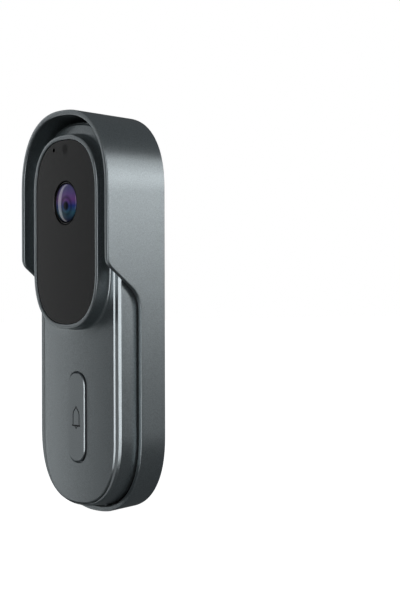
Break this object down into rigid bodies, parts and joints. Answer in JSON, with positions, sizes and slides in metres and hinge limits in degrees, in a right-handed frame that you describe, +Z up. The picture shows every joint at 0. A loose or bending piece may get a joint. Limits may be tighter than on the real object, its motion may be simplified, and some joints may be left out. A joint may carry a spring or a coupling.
{
  "type": "video doorbell",
  "caption": "Slim battery video doorbell with round ends: raised black camera panel above an oblong bell button, held on a wall bracket inside a stepped rain hood.",
  "frame": {"origin": "middle of the back face, on the wall, half way up", "axes": "-Y is the way the doorbell looks, out of the wall; +Z up; +X to the right as seen from the front"},
  "size_m": [0.061, 0.0251, 0.15],
  "materials": {
    "painted_shell": "satin fine-grain metallic gunmetal paint over moulded plastic",
    "bracket_plastic": "moulded, fine spark texture",
    "black_plastic": "moulded, fine texture",
    "silicone": "matt silicone rubber",
    "screw_steel": "zinc plated",
    "panel_glass": "polished hard-coated black panel",
    "lens_black": "moulded, semi-gloss",
    "lens_glass": "polished, purple and green anti-reflection coating",
    "filter_glass": "polished, coated",
    "clear_glass": "polished",
    "circuit_board": "green solder mask",
    "sensor_chip": "smooth",
    "copper_coil": "enamelled wire",
    "lamp_lens": "clear epoxy",
    "plated_can": "tin plated",
    "foam_black": "matt foam",
    "connector_plastic": "moulded nylon",
    "battery_wrap": "foil pouch",
    "speaker_steel": "stamped",
    "cone_film": "formed film",
    "reset_plastic": "moulded",
    "antenna_film": "polyimide film"
  },
  "bodies": {
    "wall_mount": {"rain_hood": "painted_shell", "wall_bracket": "bracket_plastic"},
    "security_screw": {"security_screw": "screw_steel"},
    "doorbell_unit": {"rear_housing": "black_plastic", "housing_gasket": "silicone", "front_housing": "painted_shell", "housing_screw_top_left": "screw_steel", "housing_screw_top_right": "screw_steel", "housing_screw_bottom_left": "screw_steel", "housing_screw_bottom_right": "screw_steel", "front_cover": "painted_shell", "front_panel": "panel_glass", "lens_trim": "lens_black", "lens_barrel": "lens_black", "front_element": "lens_glass", "rear_element": "lens_glass", "lens_holder": "black_plastic", "sensor_board": "circuit_board", "image_sensor": "sensor_chip", "camera_frame": "black_plastic", "camera_screw_upper": "screw_steel", "camera_screw_lower": "screw_steel", "filter_coil": "copper_coil", "infrared_board": "circuit_board", "infrared_lamp_left": "lamp_lens", "infrared_lamp_right": "lamp_lens", "light_sensor": "sensor_chip", "microphone": "plated_can", "mic_boot": "silicone", "light_seal": "foam_black", "main_board": "circuit_board", "board_screw_1": "screw_steel", "board_screw_2": "screw_steel", "board_screw_3": "screw_steel", "board_screw_4": "screw_steel", "radio_shield": "plated_can", "battery_connector": "connector_plastic", "battery_pack": "battery_wrap", "speaker_frame": "speaker_steel", "speaker_cone": "cone_film", "charging_port": "plated_can", "button_seal": "silicone", "tact_switch": "black_plastic", "reset_switch": "black_plastic", "tamper_switch": "black_plastic", "wifi_antenna": "antenna_film"},
    "filter_shuttle": {"filter_shuttle": "black_plastic", "infrared_filter": "filter_glass", "clear_filter": "clear_glass"},
    "charging_flap": {"charging_flap": "silicone"},
    "bell_button": {"bell_button": "painted_shell"},
    "tact_plunger": {"tact_plunger": "connector_plastic"},
    "reset_button": {"reset_button": "reset_plastic"},
    "tamper_plunger": {"tamper_plunger": "connector_plastic"}
  },
  "joints": [
    {"name": "unit_release", "type": "slide", "parent": "wall_mount", "child": "doorbell_unit", "axis": [0, -1, 0], "range_m": [0, 0.03]},
    {"name": "security_screw_travel", "type": "slide", "parent": "wall_mount", "child": "security_screw", "axis": [0, 0, 1], "range_m": [0, 0.0024]},
    {"name": "bell_button_press", "type": "slide", "parent": "doorbell_unit", "child": "bell_button", "axis": [0, 1, 0], "range_m": [0, 0.0005], "stiffness_N_per_m": 1500, "springref_m": -0.0008},
    {"name": "tact_plunger_press", "type": "slide", "parent": "doorbell_unit", "child": "tact_plunger", "axis": [0, 1, 0], "range_m": [0, 0.0005]},
    {"name": "filter_shift", "type": "slide", "parent": "doorbell_unit", "child": "filter_shuttle", "axis": [1, 0, 0], "range_m": [0, 0.0085]},
    {"name": "charging_flap_hinge", "type": "hinge", "parent": "doorbell_unit", "child": "charging_flap", "pos_m": [0, -0.0156, -0.0713], "axis": [-1, 0, 0], "range_deg": [0, 95]},
    {"name": "reset_button_press", "type": "slide", "parent": "doorbell_unit", "child": "reset_button", "axis": [0, -1, 0], "range_m": [0, 0.0005], "stiffness_N_per_m": 500, "springref_m": -0.0008},
    {"name": "tamper_travel", "type": "slide", "parent": "doorbell_unit", "child": "tamper_plunger", "axis": [0, 1, 0], "range_m": [0, 0.0012]}
  ],
  "couplings": [
    {"joint": "tact_plunger_press", "follows": "bell_button_press", "ratio": 1},
    {"joint": "tamper_travel", "follows": "unit_release", "ratio": 0.04}
  ]
}
